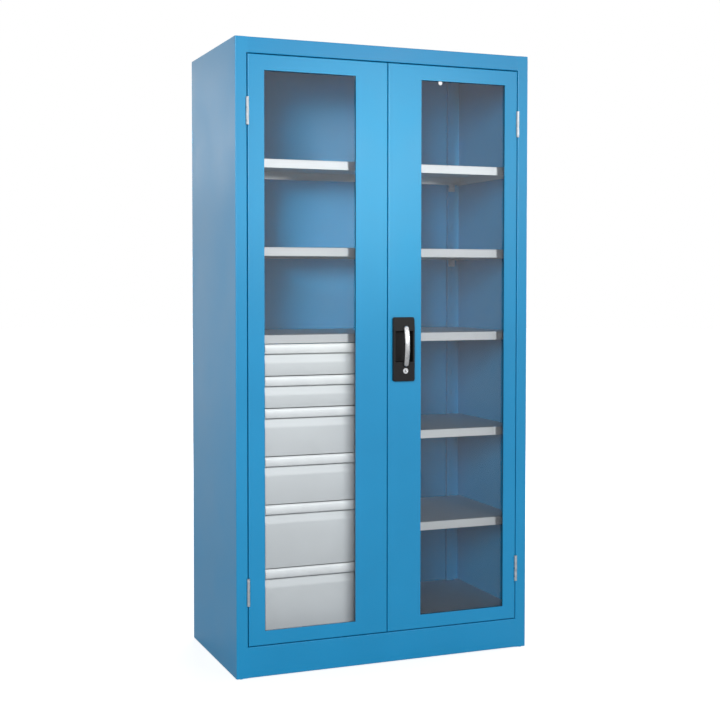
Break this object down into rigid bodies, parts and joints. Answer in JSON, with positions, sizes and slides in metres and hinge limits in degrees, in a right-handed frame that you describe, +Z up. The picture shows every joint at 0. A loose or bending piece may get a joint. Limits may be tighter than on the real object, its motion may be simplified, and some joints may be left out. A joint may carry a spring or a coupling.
{
  "type": "storage cabinet",
  "caption": "Tall sheet-steel storage cabinet with windowed double doors, a swing handle that works locking rods, full-width shelves above, and drawers beside half-width shelves below.",
  "frame": {"origin": "centre of the bounding box's bottom face, on the floor between the feet", "axes": "+X to the viewer's right along the width, +Y from the doors to the back panel, +Z up"},
  "size_m": [1, 0.53, 1.95],
  "materials": {
    "body_paint": "smooth semi-gloss powder coat",
    "inner_paint": "smooth semi-gloss powder coat",
    "shelf_paint": "light grey powder coat",
    "drawer_paint": "light grey powder coat",
    "clear_pane": "clear polished sheet",
    "seal_rubber": "matt black",
    "zinc_steel": "bright zinc plate",
    "glide_plastic": "natural nylon",
    "handle_plastic": "fine-grained black moulding",
    "lever_metal": "satin nickel",
    "lock_chrome": "bright plated"
  },
  "bodies": {
    "carcass": {"left_side_panel": "body_paint", "right_side_panel": "body_paint", "top_panel": "body_paint", "plinth_panel": "body_paint", "floor_panel": "body_paint", "back_panel": "body_paint", "partition": "inner_paint", "runner_wall": "inner_paint", "shelf_uprights": "body_paint", "upper_shelf": "shelf_paint", "middle_shelf": "shelf_paint", "lower_shelf": "shelf_paint", "upper_bay_shelf": "shelf_paint", "lower_bay_shelf": "shelf_paint", "shelf_brackets": "zinc_steel", "frame_knuckles": "zinc_steel", "drawer_rails": "zinc_steel", "rail_glides": "glide_plastic", "levelling_feet": "body_paint", "foot_brackets": "body_paint"},
    "left_door": {"left_door_shell": "body_paint", "left_stile_cover": "body_paint", "left_window_seal": "seal_rubber", "left_window_pane": "clear_pane", "left_window_retainer": "zinc_steel", "left_door_knuckles": "zinc_steel", "bolt_guides": "zinc_steel"},
    "right_door": {"right_door_shell": "body_paint", "right_stile_cover": "body_paint", "right_window_seal": "seal_rubber", "right_window_pane": "clear_pane", "right_window_retainer": "zinc_steel", "right_door_knuckles": "zinc_steel", "handle_housing": "handle_plastic", "lock_case": "zinc_steel", "lock_barrel": "lock_chrome", "rod_guides": "zinc_steel"},
    "lever_rotor": {"lever_hub": "handle_plastic", "lever_pin": "zinc_steel", "lock_cam": "zinc_steel"},
    "lever": {"swing_lever": "lever_metal"},
    "key_plug": {"key_plug": "lock_chrome"},
    "upper_rod": {"upper_rod": "zinc_steel"},
    "lower_rod": {"lower_rod": "zinc_steel"},
    "top_bolt": {"top_bolt": "zinc_steel"},
    "bottom_bolt": {"bottom_bolt": "zinc_steel"},
    "drawer_1": {"drawer_1_front": "drawer_paint", "drawer_1_tray": "drawer_paint"},
    "drawer_2": {"drawer_2_front": "drawer_paint", "drawer_2_tray": "drawer_paint"},
    "drawer_3": {"drawer_3_front": "drawer_paint", "drawer_3_tray": "drawer_paint"},
    "drawer_4": {"drawer_4_front": "drawer_paint", "drawer_4_tray": "drawer_paint"},
    "drawer_5": {"drawer_5_front": "drawer_paint", "drawer_5_tray": "drawer_paint"},
    "drawer_6": {"drawer_6_front": "drawer_paint", "drawer_6_tray": "drawer_paint"}
  },
  "joints": [
    {"name": "left_door", "type": "hinge", "parent": "carcass", "child": "left_door", "pos_m": [-0.462, -0.236, 0.997], "axis": [0, 0, -1], "range_deg": [0, 180]},
    {"name": "right_door", "type": "hinge", "parent": "carcass", "child": "right_door", "pos_m": [0.462, -0.236, 0.997], "axis": [0, 0, 1], "range_deg": [0, 180]},
    {"name": "drawer_1_slide", "type": "slide", "parent": "carcass", "child": "drawer_1", "axis": [0, -1, 0], "range_m": [0, 0.315]},
    {"name": "drawer_2_slide", "type": "slide", "parent": "carcass", "child": "drawer_2", "axis": [0, -1, 0], "range_m": [0, 0.315]},
    {"name": "drawer_3_slide", "type": "slide", "parent": "carcass", "child": "drawer_3", "axis": [0, -1, 0], "range_m": [0, 0.315]},
    {"name": "drawer_4_slide", "type": "slide", "parent": "carcass", "child": "drawer_4", "axis": [0, -1, 0], "range_m": [0, 0.315]},
    {"name": "drawer_5_slide", "type": "slide", "parent": "carcass", "child": "drawer_5", "axis": [0, -1, 0], "range_m": [0, 0.315]},
    {"name": "drawer_6_slide", "type": "slide", "parent": "carcass", "child": "drawer_6", "axis": [0, -1, 0], "range_m": [0, 0.315]},
    {"name": "lever_turn", "type": "hinge", "parent": "right_door", "child": "lever_rotor", "pos_m": [0.0565, -0.242, 1.0655], "axis": [0, -1, 0], "range_deg": [0, 90]},
    {"name": "lever_lift", "type": "hinge", "parent": "lever_rotor", "child": "lever", "pos_m": [0.0565, -0.242, 1.0655], "axis": [-1, 0, 0], "range_deg": [0, 20]},
    {"name": "key_turn", "type": "hinge", "parent": "right_door", "child": "key_plug", "pos_m": [0.0565, -0.235, 0.931], "axis": [0, -1, 0], "range_deg": [0, 90]},
    {"name": "upper_rod_slide", "type": "slide", "parent": "right_door", "child": "upper_rod", "axis": [0, 0, -1], "range_m": [0, 0.0199]},
    {"name": "lower_rod_slide", "type": "slide", "parent": "right_door", "child": "lower_rod", "axis": [0, 0, 1], "range_m": [0, 0.0199]},
    {"name": "top_bolt_slide", "type": "slide", "parent": "left_door", "child": "top_bolt", "axis": [0, 0, 1], "range_m": [0, 0.014]},
    {"name": "bottom_bolt_slide", "type": "slide", "parent": "left_door", "child": "bottom_bolt", "axis": [0, 0, -1], "range_m": [0, 0.014]}
  ],
  "couplings": [
    {"joint": "drawer_1_slide", "follows": "left_door", "m_per_rad": 0.1},
    {"joint": "drawer_2_slide", "follows": "left_door", "m_per_rad": 0.1},
    {"joint": "drawer_3_slide", "follows": "left_door", "m_per_rad": 0.1},
    {"joint": "drawer_4_slide", "follows": "left_door", "m_per_rad": 0.1},
    {"joint": "drawer_5_slide", "follows": "left_door", "m_per_rad": 0.1},
    {"joint": "drawer_6_slide", "follows": "left_door", "m_per_rad": 0.1},
    {"joint": "upper_rod_slide", "follows": "lever_turn", "m_per_rad": 0.012604},
    {"joint": "lower_rod_slide", "follows": "lever_turn", "m_per_rad": 0.012604}
  ]
}
